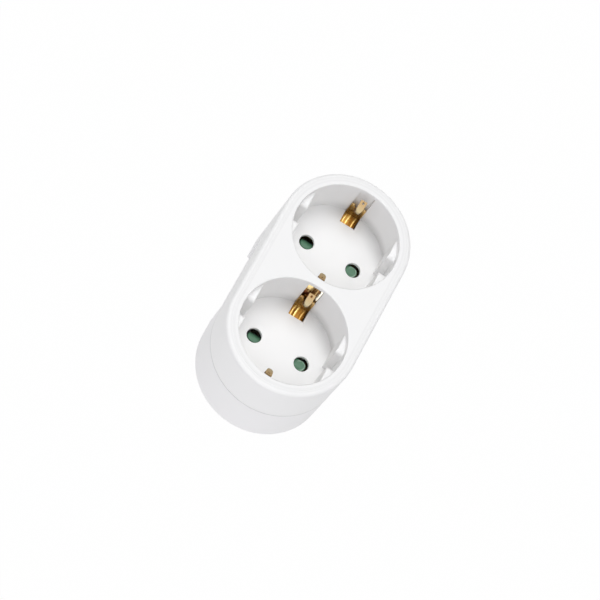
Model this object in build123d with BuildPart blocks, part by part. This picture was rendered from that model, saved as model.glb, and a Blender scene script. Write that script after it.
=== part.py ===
from build123d import *
import os
from math import asin, cos, degrees, radians, sin, sqrt

# Two-way mains socket adapter: two side-earthed wells in a long round-ended body, with a plug behind.
# Frame: millimetres, +Z out of the front face, +Y along the body, X across both pins.
# The origin is on the plug's end face, midway between the pins, which point along -Z.

# Mains plug and socket sizes
pin_spacing = 19.0
pin_diameter = 4.8
pin_length = 19.0
well_radius = 19.5
well_depth = 18.3

# Body shell
well_bridge = 3.0
rim_width = 4.35
body_depth = 39.0
parting_depth = 19.8
wall = 2.0
front_plate = 2.0
rear_wall = 1.5
front_edge_round = 1.2
front_panel_inset = 2.3
front_panel_height = 0.12
rear_edge_round = 0.6
parting_chamfer = 0.25
lap_wall = 1.0
lap_height = 1.5
lap_clearance = 0.05
grip_length = 29.0
grip_inset = 0.9
grip_lip = 1.2

# Socket wells
well_wall = 1.8
floor_thickness = 1.2
rim_round = 0.4
pin_hole_diameter = 5.5
pin_hole_round = 0.25
key_width = 3.2
key_depth = 3.0
key_round = 0.5
key_notch_width = 6.2
key_notch_round = 1.8
slot_clearance = 0.1
slot_setback = 5.35
recess_reach = 0.8
recess_depth = 2.0

# Child-protection shutters
shutter_gap = 1.0
shutter_thickness = 2.5
shutter_pad_width = 4.1
shutter_pad_reach = 2.15
shutter_pad_offset = 0.4
shutter_pad_chamfer = 0.4
shutter_hub_radius = 4.4
shutter_cam_radius = 3.6
shutter_cam_start = 0.3
shutter_swing = 38.0
pivot_radius = 2.0
running_clearance = 0.05
peg_radius = 0.9
peg_length = 1.6
stop_radius = 0.8
stop_inset = 1.9
stop_clearance = 0.25

# Shutter return springs
wire_diameter = 0.6
wire_lift = 0.4
spring_outer_reach = 5.8
spring_inner_reach = 1.0
spring_boss_gap = 1.1
spring_tail = 7.8
spring_tip_reach = 1.6
spring_bend_round = 0.8
spring_turn_slack = 0.05
anchor_width = 2.6
anchor_length = 4.0
anchor_offset = 6.0
wire_clearance = 0.05

# Earth parts
earth_bar_gap = 0.4
earth_bar_thickness = 0.8
earth_bar_overhang = 0.7
clip_thickness = 0.6
clip_width = 5.8
clip_setback = 0.8
clip_shoulder_depth = 10.6
clip_shoulder_round = 0.6
clip_notch_depth = 2.0
clip_notch_gap = 0.3
clip_foot_length = 5.7
clip_rivet_inset = 1.9
tongue_width = 2.4
tongue_nose_reach = 5.1
tongue_nose_trim = 0.45
tongue_nose_round = 1.8
tongue_nose_depth = 6.75
tongue_end_setback = 1.1
tongue_end_depth = 3.4
tongue_root = 1.5
tongue_bend_round = 0.9
tongue_hole_radius = 0.4
tongue_hole_inset = 0.85
saddle_half_width = 1.2
saddle_top_gap = 0.15
bracket_thickness = 0.7
bracket_width = 6.0
bracket_wall_gap = 1.0
bracket_bend_round = 1.0
rivet_radius = 0.8
rivet_head_radius = 1.5
rivet_head_height = 0.4
rivet_clearance = 0.02
shutter_screw_radius = 0.85
shutter_screw_head_radius = 1.9
shutter_screw_head_height = 1.3
shutter_screw_bite = 2.2

# Live and neutral contact strips
contact_strip = 0.8
contact_gap = 4.6
contact_end_reach = 5.2
contact_leaf_length = 8.7
contact_seat_height = 3.5
contact_top_gap = 1.4
contact_turn_slack = 0.05
contact_tab_width = 7.2
contact_tab_overhang = 2.5
contact_post_width = 3.2
contact_post_length = 3.0
contact_post_y = 11.5
contact_press_y = 8.5
contact_post_rise = 2.0
contact_clearance = 0.1

# Plug
plug_length = 17.5
plug_radius = 18.5
plug_bore_radius = 14.4
plug_face = 3.0
plug_face_round = 1.2
plug_flat = 16.2
plug_collar = 4.1
plug_rib_width = 5.2
plug_rib_length = 3.6
plug_channel_width = 6.6
plug_channel_radius = 17.0
plug_channel_end = 0.9
plug_contact_radius = 17.6
plug_contact_end = 2.2
plug_contact_top = 14.2
plug_slot_clearance = 0.8
pin_tip_round = 2.0
pin_seat_radius = 2.6
pin_flange_radius = 3.4
pin_flange_height = 1.6
pin_shank_radius = 2.0
pin_neck_radius = 1.5
pin_rivet_radius = 2.1
pin_rivet_height = 0.9
pin_clearance = 0.05
retainer_width = 9.0
retainer_reach = 4.0
retainer_thickness = 2.4
retainer_boss_radius = 3.0
retainer_screw_radius = 1.25
retainer_screw_head_radius = 2.4
retainer_screw_head_height = 1.5
retainer_screw_bite = 3.2

# Housing screws
boss_edge_gap = 0.2
boss_radius = 2.9
boss_split_height = 8.5
housing_screw_radius = 1.25
housing_screw_head_radius = 2.4
housing_screw_head_height = 1.6
housing_screw_bite = 6.5
counterbore_depth = 3.5
screw_clearance = 0.1
pilot_clearance = 0.03
pilot_spare = 0.5
driver_slot_width = 0.6
driver_slot_depth = 0.6

# Half height of the thin layer in which edges are picked for rounding
pick_band = 0.01

# Levels and places worked out from the sizes above
well_spacing = 2 * well_radius + well_bridge
body_end_radius = well_radius + rim_width
key_flat = well_radius - key_width
recess_radius = well_radius + recess_reach
clip_radius = well_radius - clip_setback
tongue_nose_radius = clip_radius - tongue_nose_reach
tongue_end_radius = clip_radius - tongue_end_setback
slot_inner_radius = well_radius - slot_setback
slot_width = clip_width + 2 * slot_clearance
socket_y = well_spacing / 2
pin_x = pin_spacing / 2
pin_radius = pin_diameter / 2
z_rear = plug_length
z_front = z_rear + body_depth
z_part = z_front - parting_depth
z_floor = z_front - well_depth
z_floor_rear = z_floor - floor_thickness
z_inside = z_rear + rear_wall
z_shutter_top = z_floor_rear - shutter_gap
z_shutter_rear = z_shutter_top - shutter_thickness
z_bar = z_shutter_rear - earth_bar_gap
z_bar_rear = z_bar - earth_bar_thickness
z_bracket_rear = z_bar_rear - bracket_thickness
z_peg_end = z_shutter_rear - peg_length
z_wire = z_peg_end + wire_lift + wire_diameter / 2
z_contact = z_inside + contact_seat_height
z_contact_top = z_peg_end - contact_top_gap
z_boss = z_inside + boss_split_height
z_flange = plug_face + pin_flange_height
z_shoulder = z_front - clip_shoulder_depth
z_tongue_root = z_shoulder - clip_notch_depth
z_recess = z_front - recess_depth
z_saddle = z_recess - saddle_top_gap
cup_radius = well_radius + well_wall
boss_offset = (cup_radius - boss_radius - boss_edge_gap) / sqrt(2)
bosses = [
    (x, y)
    for x in (-boss_offset, boss_offset)
    for y in (-socket_y - boss_offset, socket_y + boss_offset)
]
contact_half_gap = (contact_gap + contact_strip) / 2
contact_outer_x = pin_x + contact_half_gap
contact_inner_x = pin_x - contact_half_gap
rivet_hole_radius = rivet_radius + rivet_clearance
clip_inner_radius = clip_radius - clip_thickness / 2
clip_rivet_radius = clip_inner_radius - clip_foot_length + clip_rivet_inset
clip_rivet_y = socket_y + clip_rivet_radius
saddle_rivet_y = socket_y - clip_rivet_radius
bar_end_y = socket_y + clip_radius + earth_bar_overhang
stop_circle = pin_x - stop_inset
stop_reach = shutter_pad_width / 2 + stop_radius + stop_clearance
closed_stop_angle = degrees(asin((stop_reach - shutter_pad_offset) / stop_circle))
open_stop_angle = degrees(asin((stop_reach + shutter_pad_offset) / stop_circle))
stop_places = [
    (stop_circle * cos(radians(angle)), stop_circle * sin(radians(angle)))
    for angle in (-closed_stop_angle, shutter_swing + open_stop_angle)
]
anchor_x = pin_x + spring_outer_reach
spring_top = boss_offset - boss_radius - spring_boss_gap

os.makedirs("parts", exist_ok=True)


def write(piece, name):
    """Labels a finished piece and writes it under its own name."""
    piece.label = name
    export_step(piece, f"parts/{name}.step")


def socket_plane(y, z):
    """A plane across one socket's axis at height z."""
    return Plane(origin=(0, y, z))


def round_edges(builder, z, radius):
    """The circular edges of one radius that lie at height z."""
    level = builder.edges().filter_by_position(Axis.Z, z - pick_band, z + pick_band)
    return level.filter_by(GeomType.CIRCLE).filter_by(lambda edge: abs(edge.radius - radius) < pick_band)


def stepped_section(plane, width, step_round):
    """A well's room in section: open all across above the keys, then only as wide as given."""
    z_key = z_front - key_depth
    with BuildSketch(plane) as section:
        with Locations((0, z_floor + well_depth / 2)):
            Rectangle(width, well_depth)
        with Locations((0, z_front - key_depth / 2)):
            Rectangle(2 * cup_radius, key_depth)
        step = section.vertices().filter_by_position(Axis.Y, z_key - pick_band, z_key + pick_band)
        fillet(step.sort_by(lambda corner: abs(corner.X))[:2], step_round)
    return section.sketch


# Room inside a well: a key stands in from each side below the rim, parted by a notch in the middle
between_keys = stepped_section(Plane.XZ, 2 * key_flat, key_round)
key_notches = stepped_section(Plane.YZ, key_notch_width, key_notch_round)
with BuildPart() as well:
    extrude(between_keys, amount=well_radius, both=True)
    extrude(key_notches, amount=well_radius, both=True)
    with BuildSketch(Plane.XY.offset(z_floor)):
        Circle(well_radius)
    extrude(amount=well_depth, mode=Mode.INTERSECT)


# Front housing: the shell's front half with both wells, their floors and what stands behind the floors
with BuildPart() as front_housing:
    with BuildSketch(Plane.XY.offset(z_part)):
        SlotCenterToCenter(well_spacing, 2 * body_end_radius, rotation=90)
    extrude(amount=parting_depth - front_panel_height)
    fillet(front_housing.faces().sort_by(Axis.Z)[-1].edges(), front_edge_round)
    chamfer(front_housing.faces().sort_by(Axis.Z)[0].edges(), parting_chamfer)
    with BuildSketch(Plane.XY.offset(z_front - front_panel_height)):
        SlotCenterToCenter(well_spacing, 2 * (body_end_radius - front_panel_inset), rotation=90)
    extrude(amount=front_panel_height)
    with BuildSketch(Plane.XY.offset(z_part)):
        SlotCenterToCenter(well_spacing, 2 * (body_end_radius - wall), rotation=90)
    extrude(amount=parting_depth - front_plate, mode=Mode.SUBTRACT)
    with BuildSketch(Plane.XY.offset(z_part)):
        SlotCenterToCenter(well_spacing, 2 * (body_end_radius - lap_wall), rotation=90)
    extrude(amount=lap_height + lap_clearance, mode=Mode.SUBTRACT)

    # Cups around both wells
    with BuildSketch(Plane.XY.offset(z_floor_rear)):
        with Locations((0, -socket_y), (0, socket_y)):
            Circle(cup_radius)
    extrude(amount=z_front - front_plate / 2 - z_floor_rear)

    # Pivots, stops and spring anchors of the shutters
    for y in (-socket_y, socket_y):
        with BuildSketch(socket_plane(y, z_floor_rear)):
            Circle(pivot_radius)
        extrude(amount=z_bar - z_floor_rear)
        with BuildSketch(socket_plane(y, z_floor_rear)):
            with Locations(*stop_places):
                Circle(stop_radius)
        extrude(amount=z_shutter_rear - z_floor_rear)
        with BuildSketch(socket_plane(y, z_floor_rear)):
            with Locations((anchor_x, -anchor_offset)):
                Rectangle(anchor_width, anchor_length)
        extrude(amount=z_peg_end - z_floor_rear)
        with BuildSketch(socket_plane(y, z_peg_end)):
            with Locations((anchor_x, -anchor_offset)):
                Rectangle(wire_diameter + 2 * wire_clearance, 2 * anchor_length)
        extrude(amount=z_wire + wire_diameter / 2 + wire_clearance - z_peg_end, mode=Mode.SUBTRACT)

    # Posts that press on the contact strips, and bosses for the housing screws
    with BuildSketch(Plane.XY.offset(z_floor_rear)):
        with GridLocations(2 * contact_outer_x, 2 * contact_press_y, 2, 2):
            Rectangle(contact_post_width - contact_strip, contact_post_length)
    extrude(amount=z_contact_top + contact_clearance - z_floor_rear)
    with BuildSketch(Plane.XY.offset(z_floor_rear)):
        with Locations(*bosses):
            Circle(boss_radius)
    extrude(amount=z_boss - z_floor_rear)

    # The wells themselves, with the lip of each rim rounded
    with Locations((0, -socket_y), (0, socket_y)):
        add(well.part, mode=Mode.SUBTRACT)
    fillet(round_edges(front_housing, z_front, well_radius), rim_round)

    # Pin holes through the floors
    with BuildSketch(Plane.XY.offset(z_floor)):
        with GridLocations(pin_spacing, well_spacing, 2, 2):
            Circle(pin_hole_diameter / 2)
    extrude(amount=-floor_thickness, mode=Mode.SUBTRACT)
    fillet(round_edges(front_housing, z_floor, pin_hole_diameter / 2), pin_hole_round)

    # Earth slots through the floors, recesses up the walls, and the window between the wells
    for y in (-socket_y, socket_y):
        for side in (-1, 1):
            slot_length = recess_radius - slot_inner_radius
            with BuildSketch(socket_plane(y, z_floor_rear)):
                with Locations((0, side * (slot_inner_radius + slot_length / 2))):
                    Rectangle(slot_width, slot_length)
            extrude(amount=floor_thickness, mode=Mode.SUBTRACT)
            with BuildSketch(socket_plane(y, z_floor_rear)):
                with Locations((0, side * (recess_radius - well_wall))):
                    Rectangle(slot_width, 2 * well_wall)
            extrude(amount=z_recess - z_floor_rear, mode=Mode.SUBTRACT)
    with BuildSketch(Plane.XY.offset(z_floor_rear)):
        Rectangle(slot_width, 2 * saddle_half_width - clip_thickness)
    extrude(amount=z_recess - z_floor_rear, mode=Mode.SUBTRACT)

    # Pilot holes for the shutter screws and the housing screws
    with BuildSketch(Plane.XY.offset(z_bar)):
        with Locations((0, -socket_y), (0, socket_y)):
            Circle(shutter_screw_radius + pilot_clearance)
    extrude(amount=shutter_screw_bite + pilot_spare, mode=Mode.SUBTRACT)
    with BuildSketch(Plane.XY.offset(z_boss)):
        with Locations(*bosses):
            Circle(housing_screw_radius + pilot_clearance)
    extrude(amount=housing_screw_bite + pilot_spare, mode=Mode.SUBTRACT)
write(front_housing.part, "front_housing")


# Rear cover: the shell's rear half in one moulding with the plug body
with BuildPart() as rear_cover:
    with BuildSketch(Plane.XY.offset(z_rear)):
        SlotCenterToCenter(well_spacing, 2 * body_end_radius, rotation=90)
    extrude(amount=z_part - z_rear)
    fillet(rear_cover.faces().sort_by(Axis.Z)[0].edges(), rear_edge_round)
    chamfer(rear_cover.faces().sort_by(Axis.Z)[-1].edges(), parting_chamfer)
    with BuildSketch(Plane.XY.offset(z_part)):
        SlotCenterToCenter(well_spacing, 2 * (body_end_radius - lap_wall - lap_clearance), rotation=90)
    extrude(amount=lap_height)
    with BuildSketch(Plane.XY.offset(z_inside)):
        SlotCenterToCenter(well_spacing, 2 * (body_end_radius - wall), rotation=90)
    extrude(amount=z_part + lap_height - z_inside, mode=Mode.SUBTRACT)

    # Finger grips in both long sides
    with BuildSketch(Plane.XY.offset(z_rear)):
        for side in (-1, 1):
            with Locations((side * (body_end_radius - grip_inset + wall), 0)):
                Rectangle(2 * wall, grip_length)
    extrude(amount=z_part - grip_lip - z_rear, mode=Mode.SUBTRACT)

    # Plug body: a round collar at the back, then flats at both sides with a rib in the middle of each
    with BuildSketch():
        Circle(plug_radius)
    extrude(amount=plug_length + rear_wall / 2)
    fillet(rear_cover.faces().sort_by(Axis.Z)[0].edges(), plug_face_round)
    with BuildSketch():
        Circle(2 * plug_radius)
        Rectangle(2 * plug_flat, 4 * plug_radius, mode=Mode.SUBTRACT)
    extrude(amount=plug_length - plug_collar - plug_rib_length, mode=Mode.SUBTRACT)
    with BuildSketch(Plane.XY.offset(plug_length - plug_collar - plug_rib_length)):
        Circle(2 * plug_radius)
        Rectangle(2 * plug_flat, 4 * plug_radius, mode=Mode.SUBTRACT)
        Rectangle(4 * plug_radius, plug_rib_width, mode=Mode.SUBTRACT)
    extrude(amount=plug_rib_length, mode=Mode.SUBTRACT)
    with BuildSketch(Plane.XY.offset(plug_face)):
        Circle(plug_bore_radius)
    extrude(amount=z_inside - plug_face, mode=Mode.SUBTRACT)

    # Channels for the earth contacts at top and bottom, with a slot into the plug above each
    channel_top = plug_contact_top + bracket_thickness / 2 + plug_slot_clearance
    for side in (-1, 1):
        with BuildSketch(Plane.XY.offset(plug_channel_end)):
            with Locations((0, side * (plug_channel_radius + wall))):
                Rectangle(plug_channel_width, 2 * wall)
        extrude(amount=channel_top - plug_channel_end, mode=Mode.SUBTRACT)
        slot_bottom = plug_contact_top - bracket_thickness / 2 - plug_slot_clearance
        with BuildSketch(Plane.XY.offset(slot_bottom)):
            with Locations((0, side * (plug_bore_radius + plug_channel_radius) / 2)):
                Rectangle(plug_channel_width, plug_channel_radius - plug_bore_radius + wall)
        extrude(amount=channel_top - slot_bottom, mode=Mode.SUBTRACT)

    # Slotted posts that carry the contact strips, and tubes for the housing screws
    with BuildSketch(Plane.XY.offset(z_inside)):
        with GridLocations(2 * contact_outer_x, 2 * contact_post_y, 2, 2):
            Rectangle(contact_post_width, contact_post_length)
    extrude(amount=contact_seat_height + contact_post_rise)
    with BuildSketch(Plane.XY.offset(z_contact)):
        with GridLocations(2 * contact_outer_x, 2 * contact_post_y, 2, 2):
            Rectangle(contact_strip + 2 * contact_clearance, 2 * contact_post_length)
    extrude(amount=contact_post_rise, mode=Mode.SUBTRACT)
    with BuildSketch(Plane.XY.offset(z_inside)):
        with Locations(*bosses):
            Circle(boss_radius)
    extrude(amount=boss_split_height)
    with BuildSketch(Plane.XY.offset(z_rear)):
        with Locations(*bosses):
            Circle(housing_screw_head_radius + screw_clearance)
    extrude(amount=counterbore_depth, mode=Mode.SUBTRACT)
    with BuildSketch(Plane.XY.offset(z_rear)):
        with Locations(*bosses):
            Circle(housing_screw_radius + screw_clearance)
    extrude(amount=z_boss - z_rear, mode=Mode.SUBTRACT)

    # Boss for the pin retainer, and the holes through the plug's end
    with BuildSketch(Plane.XY.offset(plug_face)):
        Circle(retainer_boss_radius)
    extrude(amount=pin_flange_height)
    with BuildSketch(Plane.XY.offset(z_flange)):
        Circle(retainer_screw_radius + pilot_clearance)
    extrude(amount=-retainer_screw_bite - pilot_spare, mode=Mode.SUBTRACT)
    with BuildSketch():
        with Locations((-pin_x, 0), (pin_x, 0)):
            Circle(pin_seat_radius + pin_clearance)
    extrude(amount=plug_face, mode=Mode.SUBTRACT)
write(rear_cover.part, "rear_cover")


# Shutters: a rocker across both pin holes of a well, with a cam under each hole and a peg for its spring
for socket, y in (("upper", socket_y), ("lower", -socket_y)):
    with BuildPart() as shutter:
        with BuildSketch(socket_plane(y, z_shutter_rear)):
            with Locations((0, shutter_pad_offset)):
                SlotOverall(2 * (pin_x + shutter_pad_reach), shutter_pad_width)
            Circle(shutter_hub_radius)
        extrude(amount=shutter_thickness)
        chamfer(shutter.faces().sort_by(Axis.Z)[-1].edges(), shutter_pad_chamfer)
        for side in (-1, 1):
            cam_plane = Plane(origin=(0, y, z_shutter_top), x_dir=(0, side, 0), z_dir=(side, 0, 0))
            with BuildSketch(cam_plane.offset(shutter_hub_radius)):
                with Locations((shutter_cam_start - shutter_cam_radius / 2, -shutter_cam_radius / 2)):
                    Rectangle(shutter_cam_radius, shutter_cam_radius)
                with Locations((shutter_cam_start, -shutter_cam_radius)):
                    Circle(shutter_cam_radius, mode=Mode.SUBTRACT)
            extrude(amount=pin_x + shutter_pad_reach - shutter_hub_radius, mode=Mode.SUBTRACT)
        with BuildSketch(socket_plane(y, z_shutter_rear)):
            Circle(pivot_radius + running_clearance)
        extrude(amount=shutter_thickness, mode=Mode.SUBTRACT)
        with BuildSketch(socket_plane(y, z_shutter_rear)):
            with Locations((pin_x, 0)):
                Circle(peg_radius)
        extrude(amount=-peg_length)
    write(shutter.part, f"{socket}_shutter")


# Shutter springs: a hairpin of round wire, held at its tail and bearing on the shutter's peg
for socket, y in (("upper", socket_y), ("lower", -socket_y)):
    spring_inner_x = pin_x + spring_inner_reach
    tip_y = peg_radius + wire_diameter / 2 + wire_clearance
    turn_radius = (anchor_x - spring_inner_x) / 2 - spring_turn_slack
    with BuildPart() as spring:
        with BuildLine(socket_plane(y, z_wire)) as route:
            FilletPolyline(
                (anchor_x, -spring_tail),
                (anchor_x, spring_top),
                (spring_inner_x, spring_top),
                (spring_inner_x, tip_y),
                (pin_x - spring_tip_reach, tip_y),
                radius=[turn_radius, turn_radius, spring_bend_round],
            )
        with BuildSketch(Plane(origin=route.line @ 0, z_dir=route.line % 0)):
            Circle(wire_diameter / 2)
        sweep()
    write(spring.part, f"{socket}_shutter_spring")


# Contact strips: bent brass on edge, folded round each pin hole, with a tab for the plug pin's rivet
for pole, side in (("live", -1), ("neutral", 1)):
    end_y = socket_y + contact_end_reach + contact_half_gap
    leaf_y = end_y - contact_half_gap - contact_leaf_length
    fold_radius = contact_half_gap - contact_turn_slack
    with BuildPart() as contact:
        with BuildSketch(Plane.XY.offset(z_contact)):
            with BuildLine():
                FilletPolyline(
                    (side * contact_inner_x, leaf_y),
                    (side * contact_inner_x, end_y),
                    (side * contact_outer_x, end_y),
                    (side * contact_outer_x, -end_y),
                    (side * contact_inner_x, -end_y),
                    (side * contact_inner_x, -leaf_y),
                    radius=fold_radius,
                )
            trace(line_width=contact_strip)
        extrude(amount=z_contact_top - z_contact)
        tab_length = contact_half_gap + pin_rivet_radius + contact_tab_overhang
        with BuildSketch(Plane.XY.offset(z_contact)):
            with Locations((side * (contact_outer_x - tab_length / 2), 0)):
                Rectangle(tab_length, contact_tab_width)
        extrude(amount=contact_strip)
        with BuildSketch(Plane.XY.offset(z_contact)):
            with Locations((side * pin_x, 0)):
                Circle(pin_neck_radius + rivet_clearance)
        extrude(amount=contact_strip, mode=Mode.SUBTRACT)
    write(contact.part, f"{pole}_contact_strip")


# Plug pins: solid pins with a flange inside the plug's end and a riveted neck through the contact strip
for pole, side in (("live", -1), ("neutral", 1)):
    pin_axis = Plane(origin=(side * pin_x, 0, 0))
    with BuildPart() as pin:
        with BuildSketch(pin_axis.offset(-pin_length)):
            Circle(pin_radius)
        extrude(amount=pin_length)
        fillet(pin.faces().sort_by(Axis.Z)[0].edges(), pin_tip_round)
        with BuildSketch(pin_axis):
            Circle(pin_seat_radius)
        extrude(amount=plug_face)
        with BuildSketch(pin_axis.offset(plug_face)):
            Circle(pin_flange_radius)
        extrude(amount=pin_flange_height)
        with BuildSketch(pin_axis.offset(z_flange)):
            Circle(pin_shank_radius)
        extrude(amount=z_contact - z_flange)
        with BuildSketch(pin_axis.offset(z_contact)):
            Circle(pin_neck_radius)
        extrude(amount=contact_strip)
        with BuildSketch(pin_axis.offset(z_contact + contact_strip)):
            Circle(pin_rivet_radius)
        extrude(amount=pin_rivet_height)
    write(pin.part, f"{pole}_pin")


# Pin retainer: a plate across both pin flanges, held down by one screw
with BuildPart() as pin_retainer:
    with BuildSketch(Plane.XY.offset(z_flange)):
        SlotOverall(2 * (pin_x + retainer_reach), retainer_width)
        with Locations((-pin_x, 0), (pin_x, 0)):
            Circle(pin_shank_radius + screw_clearance, mode=Mode.SUBTRACT)
        Circle(retainer_screw_radius + screw_clearance, mode=Mode.SUBTRACT)
    extrude(amount=retainer_thickness)
write(pin_retainer.part, "pin_retainer")


# Screws: a plain shank under a flat head with a driver slot
with BuildPart() as retainer_screw:
    head_seat = z_flange + retainer_thickness
    with BuildSketch(Plane.XY.offset(z_flange - retainer_screw_bite)):
        Circle(retainer_screw_radius)
    extrude(amount=retainer_screw_bite + retainer_thickness)
    with BuildSketch(Plane.XY.offset(head_seat)):
        Circle(retainer_screw_head_radius)
    extrude(amount=retainer_screw_head_height)
    with BuildSketch(Plane.XY.offset(head_seat + retainer_screw_head_height)):
        Rectangle(2 * retainer_screw_head_radius, driver_slot_width)
    extrude(amount=-driver_slot_depth, mode=Mode.SUBTRACT)
write(retainer_screw.part, "retainer_screw")

with BuildPart() as housing_screws:
    head_seat = z_rear + counterbore_depth
    with BuildSketch(Plane.XY.offset(head_seat)):
        with Locations(*bosses):
            Circle(housing_screw_radius)
    extrude(amount=z_boss + housing_screw_bite - head_seat)
    with BuildSketch(Plane.XY.offset(head_seat)):
        with Locations(*bosses):
            Circle(housing_screw_head_radius)
    extrude(amount=-housing_screw_head_height)
    with BuildSketch(Plane.XY.offset(head_seat - housing_screw_head_height)):
        with Locations(*bosses):
            Rectangle(2 * housing_screw_head_radius, driver_slot_width)
            Rectangle(driver_slot_width, 2 * housing_screw_head_radius)
    extrude(amount=driver_slot_depth, mode=Mode.SUBTRACT)
write(housing_screws.part, "housing_screws")

with BuildPart() as shutter_screws:
    with BuildSketch(Plane.XY.offset(z_bar_rear)):
        with Locations((0, -socket_y), (0, socket_y)):
            Circle(shutter_screw_radius)
    extrude(amount=earth_bar_thickness + shutter_screw_bite)
    with BuildSketch(Plane.XY.offset(z_bar_rear)):
        with Locations((0, -socket_y), (0, socket_y)):
            Circle(shutter_screw_head_radius)
    extrude(amount=-shutter_screw_head_height)
    with BuildSketch(Plane.XY.offset(z_bar_rear - shutter_screw_head_height)):
        with Locations((0, -socket_y), (0, socket_y)):
            Rectangle(2 * shutter_screw_head_radius, driver_slot_width)
    extrude(amount=driver_slot_depth, mode=Mode.SUBTRACT)
write(shutter_screws.part, "shutter_screws")


# Earth bar: a flat strip behind both wells that also holds the shutters on their pivots
with BuildPart() as earth_bar:
    with BuildSketch(Plane.XY.offset(z_bar_rear)):
        Rectangle(clip_width, 2 * bar_end_y)
        with Locations((0, -socket_y), (0, socket_y)):
            Circle(shutter_screw_radius + screw_clearance, mode=Mode.SUBTRACT)
        rivet_rows = (-clip_rivet_y, -saddle_rivet_y, saddle_rivet_y, clip_rivet_y)
        with Locations(*[(0, y) for y in rivet_rows]):
            Circle(rivet_hole_radius, mode=Mode.SUBTRACT)
    extrude(amount=earth_bar_thickness)
write(earth_bar.part, "earth_bar")


def earth_blade(y, side):
    """The blade, foot and sprung tongue of an earth clip on one side of the socket at y, facing its axis."""
    across = Plane(origin=(0, y, 0), x_dir=(0, side, 0), z_dir=(side, 0, 0))
    with BuildPart() as tongue:
        z_nose = z_front - tongue_nose_depth
        with BuildSketch(across):
            with BuildLine():
                FilletPolyline(
                    (clip_radius, z_tongue_root - tongue_root),
                    (clip_radius, z_tongue_root),
                    (tongue_nose_radius, z_nose),
                    (tongue_end_radius, z_front - tongue_end_depth),
                    radius=tongue_bend_round,
                )
            trace(line_width=clip_thickness)
        extrude(amount=tongue_width / 2, both=True)
        nose = tongue_nose_radius - clip_thickness / 2 + tongue_nose_trim
        with BuildSketch(socket_plane(y, z_tongue_root - 2 * tongue_root)):
            with Locations((0, side * (nose + tongue_nose_round))):
                Ellipse(tongue_width / 2, tongue_nose_round)
            with Locations((0, side * (nose + tongue_nose_round + well_radius / 2))):
                Rectangle(tongue_width, well_radius)
        extrude(amount=z_front - z_tongue_root + 2 * tongue_root, mode=Mode.INTERSECT)
        with BuildSketch(socket_plane(y, z_nose)):
            with Locations((0, side * (tongue_end_radius - tongue_hole_inset))):
                Circle(tongue_hole_radius)
        extrude(amount=tongue_nose_depth, mode=Mode.SUBTRACT)
    face = Plane(origin=(0, y + side * clip_inner_radius, 0), x_dir=(-side, 0, 0), z_dir=(0, side, 0))
    with BuildPart() as blade:
        with BuildSketch(face) as outline:
            with Locations((0, (z_bar + z_shoulder) / 2)):
                Rectangle(clip_width, z_shoulder - z_bar)
            with Locations((0, z_shoulder)):
                Rectangle(tongue_width + 2 * clip_notch_gap, 2 * clip_notch_depth, mode=Mode.SUBTRACT)
            fillet(outline.vertices().group_by(Axis.Y)[-1], clip_shoulder_round)
        extrude(amount=clip_thickness)
        foot_length = clip_foot_length + clip_thickness
        with BuildSketch(socket_plane(y, z_bar)):
            with Locations((0, side * (clip_inner_radius - clip_foot_length + foot_length / 2))):
                Rectangle(clip_width, foot_length)
            with Locations((0, side * clip_rivet_radius)):
                Circle(rivet_hole_radius, mode=Mode.SUBTRACT)
        extrude(amount=clip_thickness)
        add(tongue.part)
    return blade.part


# End clips: one blade at each end of the body, with its foot riveted to the earth bar
write(earth_blade(socket_y, 1), "upper_earth_clip")
write(earth_blade(-socket_y, -1), "lower_earth_clip")


# Earth saddle: two blades back to back, joined by a fold that stands in the window between the wells
lower_blade = earth_blade(-socket_y, 1)
upper_blade = earth_blade(socket_y, -1)
with BuildPart() as earth_saddle:
    add(lower_blade)
    add(upper_blade)
    with BuildSketch(Plane.XY.offset(z_bar)):
        Rectangle(clip_width, 2 * (socket_y - clip_radius))
    extrude(amount=clip_thickness)
    with BuildSketch(Plane.XY.offset(z_bar)):
        Rectangle(clip_width, 2 * saddle_half_width)
    extrude(amount=z_saddle - z_bar)
    with BuildSketch(Plane.XY.offset(z_bar)):
        Rectangle(clip_width, 2 * (saddle_half_width - clip_thickness))
    extrude(amount=z_saddle - clip_thickness - z_bar, mode=Mode.SUBTRACT)
write(earth_saddle.part, "earth_saddle")


# Plug earth bracket: a folded strip from the earth bar down inside the plug and out into both side channels
with BuildPart() as plug_earth_bracket:
    bend_y = plug_bore_radius - bracket_wall_gap
    top = z_bar_rear - bracket_thickness / 2
    with BuildSketch(Plane.YZ):
        with BuildLine():
            FilletPolyline(
                (-plug_contact_radius, plug_contact_end),
                (-plug_contact_radius, plug_contact_top),
                (-bend_y, plug_contact_top),
                (-bend_y, top),
                (bend_y, top),
                (bend_y, plug_contact_top),
                (plug_contact_radius, plug_contact_top),
                (plug_contact_radius, plug_contact_end),
                radius=bracket_bend_round,
            )
        trace(line_width=bracket_thickness)
    extrude(amount=bracket_width / 2, both=True)
    with BuildSketch(Plane.XY.offset(z_bracket_rear)):
        with Locations((0, -saddle_rivet_y), (0, saddle_rivet_y)):
            Circle(rivet_hole_radius)
    extrude(amount=bracket_thickness, mode=Mode.SUBTRACT)
write(plug_earth_bracket.part, "plug_earth_bracket")


def rivets(places, z_low, z_high):
    """Headed rivets through a stack from z_low to z_high."""
    with BuildPart() as row:
        with BuildSketch(Plane.XY.offset(z_low)):
            with Locations(*places):
                Circle(rivet_radius)
        extrude(amount=z_high - z_low)
        with BuildSketch(Plane.XY.offset(z_high)):
            with Locations(*places):
                Circle(rivet_head_radius)
        extrude(amount=rivet_head_height)
        with BuildSketch(Plane.XY.offset(z_low)):
            with Locations(*places):
                Circle(rivet_head_radius)
        extrude(amount=-rivet_head_height)
    return row.part


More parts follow.
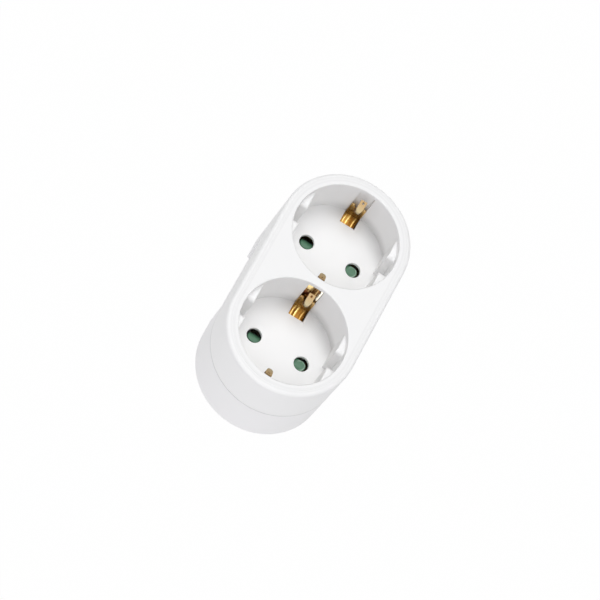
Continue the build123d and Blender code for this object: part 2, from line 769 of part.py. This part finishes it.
clip_rivets = rivets([(0, -clip_rivet_y), (0, clip_rivet_y)], z_bar_rear, z_bar + clip_thickness)
write(clip_rivets, "clip_rivets")
saddle_rivets = rivets([(0, -saddle_rivet_y), (0, saddle_rivet_y)], z_bracket_rear, z_bar + clip_thickness)
write(saddle_rivets, "saddle_rivets")
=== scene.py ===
import bpy
from mathutils import Matrix, Vector


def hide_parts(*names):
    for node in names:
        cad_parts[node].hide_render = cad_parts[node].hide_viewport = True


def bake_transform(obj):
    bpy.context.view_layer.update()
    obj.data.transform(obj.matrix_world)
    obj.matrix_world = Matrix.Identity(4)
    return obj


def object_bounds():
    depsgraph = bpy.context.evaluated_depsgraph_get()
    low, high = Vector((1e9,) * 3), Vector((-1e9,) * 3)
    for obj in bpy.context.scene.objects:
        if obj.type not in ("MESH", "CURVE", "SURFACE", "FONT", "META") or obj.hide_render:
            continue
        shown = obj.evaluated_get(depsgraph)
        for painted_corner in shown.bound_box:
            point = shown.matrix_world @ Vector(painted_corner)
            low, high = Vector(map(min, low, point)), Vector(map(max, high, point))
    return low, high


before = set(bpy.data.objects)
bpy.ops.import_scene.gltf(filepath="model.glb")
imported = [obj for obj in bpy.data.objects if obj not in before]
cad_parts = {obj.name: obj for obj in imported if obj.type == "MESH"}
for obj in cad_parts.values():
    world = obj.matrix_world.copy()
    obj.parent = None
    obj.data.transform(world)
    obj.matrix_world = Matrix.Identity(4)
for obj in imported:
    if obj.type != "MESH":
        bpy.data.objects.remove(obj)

cad_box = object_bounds()


class Value:
    """A socket that takes part in ordinary sums: each operator adds one Math node."""

    def __init__(self, finish, socket):
        self.finish = finish
        self.socket = socket

    def sum(self, operation, *others):
        """One Math node with this value first and the others after it."""
        terms = dict(enumerate((self, *others)))
        return self.finish.node("ShaderNodeMath", {"operation": operation}, terms)

    def __add__(self, other):
        return self.sum("ADD", other)

    def __sub__(self, other):
        return self.sum("SUBTRACT", other)

    def __rsub__(self, other):
        return self.finish.node("ShaderNodeMath", {"operation": "SUBTRACT"}, {0: other, 1: self})

    def __mul__(self, other):
        return self.sum("MULTIPLY", other)

    def __abs__(self):
        return self.sum("ABSOLUTE")

    __radd__ = __add__
    __rmul__ = __mul__


class Finish:
    """A material whose nodes are added one at a time and whose look goes through one principled shader."""

    def __init__(self, name):
        self.material = bpy.data.materials.new(name)
        self.material.use_nodes = True
        self.tree = self.material.node_tree
        self.shader = self.tree.nodes["Principled BSDF"]

    @classmethod
    def of_tree(cls, tree):
        """The same helpers for a node tree that belongs to no material."""
        finish = cls.__new__(cls)
        finish.tree = tree
        return finish

    def node(self, kind, settings=None, inputs=None, output=0):
        """Adds a node: its settings first, then the values or links of its sockets."""
        node = self.tree.nodes.new(kind)
        for key, setting in (settings or {}).items():
            if key == "stops":
                place_stops(node.color_ramp, setting)
            else:
                setattr(node, key, setting)
        self.fill(node, inputs or {})
        return Value(self, node.outputs[output])

    def fill(self, node, inputs):
        for key, value in inputs.items():
            if isinstance(value, Value):
                self.tree.links.new(value.socket, node.inputs[key])
            else:
                node.inputs[key].default_value = value

    def look(self, **sockets):
        """Sets the shader's own sockets: base_color goes to Base Color, and so on."""
        self.fill(self.shader, {key.replace("_", " ").title(): value for key, value in sockets.items()})
        return self.material

    def seen(self):
        """One where a ray comes from the camera, a mirror or a clear piece, else zero."""
        camera, mirror, clear = [
            self.node("ShaderNodeLightPath", output=f"Is {kind} Ray")
            for kind in ("Camera", "Glossy", "Transmission")
        ]
        return (camera + mirror + clear).sum("MINIMUM", 1.0)

    def glow_for_camera(self, colour, share):
        """Lets such rays see mostly a plain glow, with the lit surface and its shadows under it."""
        glow = self.node("ShaderNodeEmission", {}, {"Color": colour, "Strength": 1.0})
        lit = Value(self, self.shader.outputs["BSDF"])
        mixed = self.node("ShaderNodeMixShader", {}, {0: self.seen() * share, 1: lit, 2: glow})
        self.tree.links.new(mixed.socket, self.tree.nodes["Material Output"].inputs["Surface"])

    def place(self):
        """Where the surface is on its own piece, in metres."""
        return self.node("ShaderNodeTexCoord", output="Object")

    def axes(self):
        """The same place as three plain values."""
        place = self.place()
        return [self.node("ShaderNodeSeparateXYZ", {}, {"Vector": place}, output=axis) for axis in "XYZ"]

    def between(self, value, start, end):
        """Rises smoothly from zero at the start to one at the end."""
        inputs = {"Value": value, "From Min": start, "From Max": end}
        return self.node("ShaderNodeMapRange", {"interpolation_type": "SMOOTHSTEP"}, inputs)

    def near(self, value, middle, half_width, flat_share=0.3):
        """One round the middle, falling to zero at the half width on either side."""
        return self.between(abs(value - middle), half_width, flat_share * half_width)

    def stretched(self, scale):
        return self.node("ShaderNodeMapping", {}, {"Vector": self.place(), "Scale": scale})

    def noise(self, where, scale=1.0, detail=2.0, roughness=0.5):
        inputs = {"Vector": where, "Scale": scale, "Detail": detail, "Roughness": roughness}
        return self.node("ShaderNodeTexNoise", {}, inputs)

    def ramp(self, value, stops):
        return self.node("ShaderNodeValToRGB", {"stops": stops}, {"Fac": value})

    def blend(self, factor, first, second):
        return self.node("ShaderNodeMix", {"data_type": "RGBA"}, {0: factor, 6: first, 7: second}, output=2)

    def bump(self, height, distance, strength, edge_round):
        """A fine relief on top of edges that are rounded by the given radius."""
        rounded = self.node("ShaderNodeBevel", {"samples": 6}, {"Radius": edge_round})
        inputs = {"Height": height, "Distance": distance, "Strength": strength, "Normal": rounded}
        return self.node("ShaderNodeBump", {}, inputs)


def place_stops(ramp, stops):
    while len(ramp.elements) < len(stops):
        ramp.elements.new(1.0)
    for element, (position, colour) in zip(ramp.elements, stops):
        element.position = position
        element.color = colour


# Places on the object that the finishes follow, in metres
front_level = cad_box[1][2]
well_depth = 0.0183
parting_depth = 0.0198
shutter_drop = 0.0022
floor_of_wells = front_level - well_depth
parting_level = front_level - parting_depth
shutter_level = floor_of_wells - shutter_drop
well_offset = 0.021
well_radius = 0.0195

# Relief and edges that several finishes share, in metres, and the middle of what a noise gives
grain_depth = 0.00002
fine_edge = 0.0001
soft_edge = 0.00015
noise_middle = 0.5

# Housing and cover: the seam, the front panel's two lines of painted shade and the fades of painted light
# and shade inside the wells, in metres
seam_half = 0.0004
panel_lines = (0.02105, 0.02215)
line_half = 0.0005
front_fade = (front_level - 0.0006, front_level - 0.0003)
well_fade = (well_radius + 0.0004, well_radius + 0.0001)
side_fade = (0.010, 0.016)
corner_fade = (0.013, well_radius)
far_end_fade = (0.002, 0.012)
low_fade = (floor_of_wells + 0.006, floor_of_wells)
left_fade = (-0.010, -0.003)

# Shades that the housing's white leans to, and how far it does: a paler white painted as light on the
# wells' sides, a dark grey for the seam and for painted shade
painted_light_white = (0.956, 0.957, 0.958, 1)
shadow_grey = (0.05, 0.045, 0.04, 1)
seam_share = 0.25
painted_line_shade = 0.042
painted_corner_shade = 0.24
left_least = 0.35
gloss_share = 0.1


def housing_tint(finish, colour):
    """The housing's white: painted paler as light at the wells' sides, darker at the seam, with painted
    shade at the panel lines and far corners.
    """
    x, y, z = finish.axes()
    seam = finish.near(z, parting_level, seam_half)

    # Painted shade: the panel's two lines are painted darker; they keep the same distance from the straight
    # line that joins the wells' axes
    beyond = (abs(y) - well_offset).sum("MAXIMUM", 0.0)
    reach = (x * x + beyond * beyond).sum("SQRT")
    inner_line, outer_line = [finish.near(reach, line, line_half) for line in panel_lines]
    painted_lines = (inner_line + outer_line) * finish.between(z, *front_fade)

    # Painted shade: the corner between a well's floor and wall is painted darker towards the far end, and
    # less so at the left
    across = y - y.sum("SIGN") * well_offset
    spread = (x * x + across * across).sum("SQRT")
    inside = finish.between(spread, *well_fade)
    painted_corner = finish.between(spread, *corner_fade) * finish.between(across, *far_end_fade)
    painted_corner = painted_corner * finish.between(z, *low_fade) * inside
    painted_corner = painted_corner * (left_least + (1.0 - left_least) * finish.between(x, *left_fade))

    # Painted light: the wells' sides are painted a paler white
    colour = finish.blend(inside * finish.between(abs(x), *side_fade), colour, painted_light_white)
    shade = seam * seam_share + painted_lines * painted_line_shade + painted_corner * painted_corner_shade
    return finish.blend(shade, colour, shadow_grey)


def cover_tint(finish, colour):
    """The rear cover's white, darker at its own side of the seam."""
    _, _, z = finish.axes()
    seam = finish.near(z, parting_level, seam_half)
    return finish.blend(seam * seam_share, colour, shadow_grey)


def moulded_plastic(name, shade, pale, roughness, edge_round, tint=None):
    """Injection-moulded plastic: fine spark-eroded grain, slow flow shading and slightly uneven gloss."""
    finish = Finish(name)
    flow = finish.noise(finish.place(), scale=55.0, detail=3.0)
    grain = finish.noise(finish.place(), scale=2600.0, roughness=0.6)
    gloss = finish.noise(finish.place(), scale=420.0, detail=3.0)
    colour = finish.blend(flow, shade, pale)
    if tint:
        colour = tint(finish, colour)
    return finish.look(
        base_color=colour,
        roughness=roughness + gloss * gloss_share,
        normal=finish.bump(grain, grain_depth, strength=0.35, edge_round=edge_round),
    )


# Shutters: the painted highlight ring on each right pad, with the direction of its lit side, and the cams'
# slope of painted shade, in metres
pad_reach = 0.0096
pad_offset = 0.0004
pad_ring = 0.00175
ring_half = 0.0004
lit_side = (0.83, 0.56)
lit_fade = (-0.0014, 0.0006)
cam_fade = (shutter_level, shutter_level - 0.0010)
cam_side_fade = (-0.004, -0.005)
cam_painted_shade = (0.004, 0.006, 0.006, 1)


def shutter_plastic(name, shade, pale, painted_ring_highlight, roughness):
    """The shutters' green: a paler ring painted as highlight on the pad under each right hole, cams painted
    dark as shade where they fall into the dark.
    """
    finish = Finish(name)
    x, y, z = finish.axes()
    flow = finish.noise(finish.place(), scale=90.0, detail=3.0)
    grain = finish.noise(finish.place(), scale=2600.0, roughness=0.6)
    colour = finish.blend(flow, shade, pale)

    out = x - pad_reach
    across = y - y.sum("SIGN") * well_offset - pad_offset
    spread = (out * out + across * across).sum("SQRT")
    # Painted highlight: the pad's bevelled ring is painted paler on its lit side
    lit = finish.between(out * lit_side[0] + across * lit_side[1], *lit_fade)
    colour = finish.blend(finish.near(spread, pad_ring, ring_half) * lit, colour, painted_ring_highlight)

    # Painted shade: the cams under the left holes are painted darker as they slope down
    cam = finish.between(z, *cam_fade) * finish.between(x, *cam_side_fade)
    return finish.look(
        base_color=finish.blend(cam, colour, cam_painted_shade),
        roughness=roughness,
        normal=finish.bump(grain, grain_depth, strength=0.3, edge_round=fine_edge),
    )


# Brass blades, in metres: drawn lines with painted glints, with their half width and strength, the
# shoulder's painted highlight, the floor's band of painted shade
drawn_glint_lines = ((-0.0006, 0.0004, 1.0), (-0.0019, 0.0003, 0.7), (0.0017, 0.0003, 0.5))
shoulder_level = 0.0459
shoulder_highlight_band = (shoulder_level - 0.0001, 0.0003)
floor_shade_band = (floor_of_wells + 0.0006, 0.0007)
above_floor_fade = (floor_of_wells + 0.0002, floor_of_wells + 0.0012)

# How strongly each of them shows on the blades
blade_level = 0.43
drawn_least = 0.4
drawn_share = 0.3
streak_share = 0.9
cloud_share = 0.3
floor_shade_share = 0.2
above_floor_share = 0.8
shoulder_highlight_share = 0.35
# Blade shades: the palest stop is a painted highlight
blade_shades = [
    (0.26, (0.20, 0.105, 0.025, 1.0)),
    (0.42, (0.40, 0.245, 0.08, 1.0)),
    (0.56, (0.66, 0.45, 0.18, 1.0)),
    (0.74, (1.0, 0.93, 0.60, 1.0)),
]
above_floor_brown = (0.46, 0.25, 0.06, 1.0)
above_floor_gold = (0.86, 0.54, 0.18, 1.0)
# Painted highlight colour for the shoulder's top edge
shoulder_highlight = (0.95, 0.78, 0.48, 1.0)


def blade_tint(finish, x, z, streak, cloud):
    """Blades: drawn streaks with painted glints, a band of painted shade at the floor, browner above it and
    a painted highlight on the shoulder.
    """
    # Drawn streaks, painted brighter as glints of reflected light
    drawn_glints = sum(finish.near(x, middle, half) * strength for middle, half, strength in drawn_glint_lines)
    mottle = (streak - noise_middle) * streak_share + (cloud - noise_middle) * cloud_share
    level = blade_level + drawn_glints * (cloud + drawn_least) * drawn_share + mottle
    # Painted shade: a dark band on the blade at the floor's level
    blade = finish.ramp(level - finish.near(z, *floor_shade_band) * floor_shade_share, blade_shades)
    above_floor = finish.blend(streak, above_floor_brown, above_floor_gold)
    blade = finish.blend(finish.between(z, *above_floor_fade) * above_floor_share, blade, above_floor)
    # Painted highlight along the shoulder's top edge
    return finish.blend(finish.near(z, *shoulder_highlight_band) * shoulder_highlight_share, blade, shoulder_highlight)


# Brass tongues: where they stand clear of the blades, their free ends and noses, in metres
blade_reach = 0.0183
tongue_level = 0.0439
clear_fade = (blade_reach, blade_reach - 0.0002)
root_fade = (tongue_level, tongue_level + 0.0006)
free_end_fade = (0.0502, 0.0528)
nose_fade = (0.0496, 0.0492)
lower_well_fade = (0.002, -0.002)
lower_well_share = 0.5
worn_dark = (0.43, 0.35, 0.20, 1.0)
worn_pale = (0.53, 0.44, 0.27, 1.0)
worn_grey = (0.46, 0.41, 0.29, 1.0)
# Painted shade colours: the free end's brown and the dark below the nose
free_end_shade = (0.47, 0.335, 0.175, 1.0)
under_nose_shade = (0.20, 0.10, 0.03, 1.0)


def tongue_tint(finish, y, z, grain):
    """Tongues: rubbed pale by plugs, greyer in the lower well, with painted shade that browns the free ends
    and darkens below the nose.
    """
    worn = finish.blend(grain, worn_dark, worn_pale)
    worn = finish.blend(finish.between(y, *lower_well_fade) * lower_well_share, worn, worn_grey)
    # Painted shade: browner towards the free end, dark below the nose
    worn = finish.blend(finish.between(z, *free_end_fade), worn, free_end_shade)
    return finish.blend(finish.between(z, *nose_fade), worn, under_nose_shade)


# Brass fold over the bridge: its patch of painted reflection, its corner and edge of painted highlight,
# with a ripple in their outlines, in metres
fold_half = 0.0017
fold_fade = (fold_half, fold_half - 0.0001)
fold_foot_fade = (shoulder_level, shoulder_level + 0.0003)
ripple_depth = 0.004
edge_ripple = 0.4
patch_side_fade = (-0.0003, -0.0009)
patch_top_fade = (0.0492, 0.0484)
corner_side_fade = (-0.0004, -0.0010)
corner_foot_fade = (0.0505, 0.0512)
edge_fade = (0.0018, 0.0023)
fold_contrast = 1.8
fold_shades = [
    (0.36, (0.20, 0.08, 0.02, 1.0)),
    (0.52, (0.62, 0.34, 0.09, 1.0)),
    (0.66, (1.0, 0.80, 0.38, 1.0)),
]
# Painted reflection for the dark patch, painted highlights for the pale corner and the bright edge
patch_reflection = (0.15, 0.045, 0.018, 1.0)
corner_highlight = (0.90, 0.70, 0.34, 1.0)
edge_highlight = (1.0, 0.95, 0.80, 1.0)

# How far the fold's pale corner and bright edge lean back, as a slope, and the streaks' relief in metres
corner_lean = 0.7
edge_lean = 0.75
most_lean = 0.75
streak_depth = 0.000025

# The strip's streaks run along it, and its gloss is its own, the clouds' share and the worn tongues' share
strip_stretch = (1150.0, 60.0, 60.0)
strip_roughness = 0.24
cloud_roughness = 0.08
tongue_roughness = 0.3


def rolled_brass(name):
    """Brass strip for contacts and earth clips, with worn tongues and a fold over the bridge with painted
    reflection and highlights.
    """
    finish = Finish(name)
    x, y, z = finish.axes()
    streak = finish.noise(finish.stretched(strip_stretch), roughness=0.55)
    cloud = finish.noise(finish.place(), scale=420.0)
    grain = finish.noise(finish.place(), scale=2400.0)

    reach = abs(abs(y) - well_offset)
    tongue = finish.between(reach, *clear_fade) * finish.between(z, *root_fade)
    blade = blade_tint(finish, x, z, streak, cloud)
    colour = finish.blend(tongue, blade, tongue_tint(finish, y, z, grain))

    # Fold over the bridge: a dark patch of painted reflection above the shoulder, one pale corner and one
    # bright edge of painted highlight
    fold = finish.between(abs(y), *fold_fade) * finish.between(z, *fold_foot_fade)
    ripple = (cloud - noise_middle) * ripple_depth
    patch = finish.between(x + ripple, *patch_side_fade) * finish.between(z, *patch_top_fade)
    painted_corner = finish.between(x + ripple, *corner_side_fade) * finish.between(z + ripple, *corner_foot_fade)
    edge = finish.between(x + ripple * edge_ripple, *edge_fade)
    folded = finish.ramp(noise_middle + (streak - noise_middle) * fold_contrast, fold_shades)
    folded = finish.blend(patch, folded, patch_reflection)
    folded = finish.blend(painted_corner, folded, corner_highlight)
    folded = finish.blend(edge, folded, edge_highlight)

    # The pale corner and the bright edge lean back, so that they mirror the light above the rim
    lean = fold * (painted_corner * corner_lean + edge * edge_lean).sum("MINIMUM", most_lean)
    relief = streak * streak_depth - lean * z
    return finish.look(
        base_color=finish.blend(fold, colour, folded),
        metallic=1.0,
        roughness=strip_roughness + cloud * cloud_roughness + tongue * tongue_roughness,
        normal=finish.bump(relief, distance=1.0, strength=1.0, edge_round=soft_edge),
    )


# Turned and plated metal: rings round the piece, and how far wear darkens and dulls it
ring_stretch = (120.0, 120.0, 4000.0)
worn_share = 0.7
wear_roughness = 0.12


def plated_metal(name, colour, roughness):
    """Plated metal with the fine rings that turning leaves."""
    finish = Finish(name)
    rings = finish.noise(finish.stretched(ring_stretch))
    wear = finish.noise(finish.place(), scale=300.0, detail=3.0)
    worn = tuple(worn_share * channel for channel in colour[:3]) + (1.0,)
    return finish.look(
        base_color=finish.blend(wear, worn, colour),
        metallic=1.0,
        roughness=roughness + wear * wear_roughness,
        normal=finish.bump(rings, grain_depth, strength=0.4, edge_round=fine_edge),
    )


housing_white = moulded_plastic(
    "housing_white",
    shade=(0.908, 0.91, 0.912, 1),
    pale=(0.928, 0.93, 0.932, 1),
    roughness=0.36,
    edge_round=fine_edge,
    tint=housing_tint,
)
cover_white = moulded_plastic(
    "cover_white",
    shade=(0.905, 0.904, 0.912, 1),
    pale=(0.925, 0.924, 0.932, 1),
    roughness=0.36,
    edge_round=fine_edge,
    tint=cover_tint,
)
shutter_green = shutter_plastic(
    "shutter_green",
    shade=(0.075, 0.20, 0.115, 1),
    pale=(0.10, 0.24, 0.143, 1),
    painted_ring_highlight=(0.38, 0.57, 0.43, 1),
    roughness=0.42,
)
retainer_white = moulded_plastic(
    "retainer_white",
    shade=(0.55, 0.53, 0.47, 1),
    pale=(0.66, 0.64, 0.58, 1),
    roughness=0.45,
    edge_round=soft_edge,
)
strip_brass = rolled_brass("strip_brass")
pin_nickel = plated_metal("pin_nickel", colour=(0.70, 0.69, 0.65, 1.0), roughness=0.16)
screw_steel = plated_metal("screw_steel", colour=(0.55, 0.55, 0.54, 1.0), roughness=0.28)

# Every piece that isn't named here is brass
finishes = {
    "front_housing": housing_white,
    "rear_cover": cover_white,
    "upper_shutter": shutter_green,
    "lower_shutter": shutter_green,
    "pin_retainer": retainer_white,
    "live_pin": pin_nickel,
    "neutral_pin": pin_nickel,
    "plug_earth_bracket": pin_nickel,
    "upper_shutter_spring": screw_steel,
    "lower_shutter_spring": screw_steel,
    "retainer_screw": screw_steel,
    "housing_screws": screw_steel,
    "shutter_screws": screw_steel,
}
for node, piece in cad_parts.items():
    for slot in piece.material_slots:
        slot.material = finishes.get(node, strip_brass)


# Return springs: a steel copy of each shutter's spring takes the place of the rigid one
for socket, side in (("upper", 1), ("lower", -1)):
    rigid_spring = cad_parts[f"{socket}_shutter_spring"]
    spring = bpy.data.objects.new(f"{socket}_return_spring", rigid_spring.data.copy())
    bpy.context.scene.collection.objects.link(spring)
    spring.data.materials.clear()
    spring.data.materials.append(screw_steel)
    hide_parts(rigid_spring.name)
    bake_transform(spring)


# Camera where the photograph was taken from
camera_place = Vector((-0.09037, -0.53459, 1.04655))
camera_right = Vector((0.850123, 0.430622, 0.303076))
camera_up = Vector((-0.520852, 0.772325, 0.363631))
camera_data = bpy.data.cameras.new("camera")
camera_data.sensor_width = 36.0
camera_data.lens = 197.7
camera = bpy.data.objects.new("camera", camera_data)
bpy.context.scene.collection.objects.link(camera)
turn = Matrix((camera_right, camera_up, camera_right.cross(camera_up))).transposed().to_4x4()
camera.matrix_world = Matrix.Translation(camera_place) @ turn
bpy.context.scene.camera = camera

# White floor far below the pins: camera and metal see it white, and it still takes the shadow
floor_drop = 0.5
floor_half = 6.0
floor_glow = 0.96
floor_level = cad_box[0][2] - floor_drop
floor_corners = [(-1, -1), (1, -1), (1, 1), (-1, 1)]
floor_points = [(floor_half * x, floor_half * y, floor_level) for x, y in floor_corners]
floor_mesh = bpy.data.meshes.new("floor")
floor_mesh.from_pydata(floor_points, [], [(0, 1, 2, 3)])
floor = bpy.data.objects.new("floor", floor_mesh)
bpy.context.scene.collection.objects.link(floor)
floor_white = Finish("floor_white")
floor_white.look(base_color=(0.95, 0.95, 0.95, 1), roughness=0.9)
floor_white.glow_for_camera((1, 1, 1, 1), floor_glow)
floor_mesh.materials.append(floor_white.material)

# White surround: an even ambient level for the light, plain white where the metal mirrors it
ambient = 0.345
world = bpy.data.worlds.new("surround")
bpy.context.scene.world = world
world.use_nodes = True
surround = Finish.of_tree(world.node_tree)
surround.fill(world.node_tree.nodes["Background"], {
    "Color": (1, 1, 1, 1),
    "Strength": ambient + surround.seen() * (1.0 - ambient),
})


def soft_sun(name, towards, strength, spread=0.6, tint=(1.0, 1.0, 1.0)):
    """A sun whose light comes from the given direction, with its disc as wide as a large soft box."""
    sun_data = bpy.data.lights.new(name, "SUN")
    sun_data.energy = strength
    sun_data.color = tint
    sun_data.angle = spread
    sun = bpy.data.objects.new(name, sun_data)
    bpy.context.scene.collection.objects.link(sun)
    sun.rotation_euler = Vector(towards).to_track_quat("Z", "Y").to_euler()


soft_sun("key_sun", towards=(-0.2, 0.27, 1.0), strength=1.04)
soft_sun("front_sun", towards=(-0.08, -0.45, 0.89), strength=0.41)
soft_sun("low_sun", towards=(-0.04, -0.9, 0.35), strength=0.76, spread=1.3, tint=(0.98, 0.955, 1.0))
soft_sun("right_sun", towards=(0.5, 0.0, 0.85), strength=0.33)

bpy.context.scene.view_settings.view_transform = "Standard"
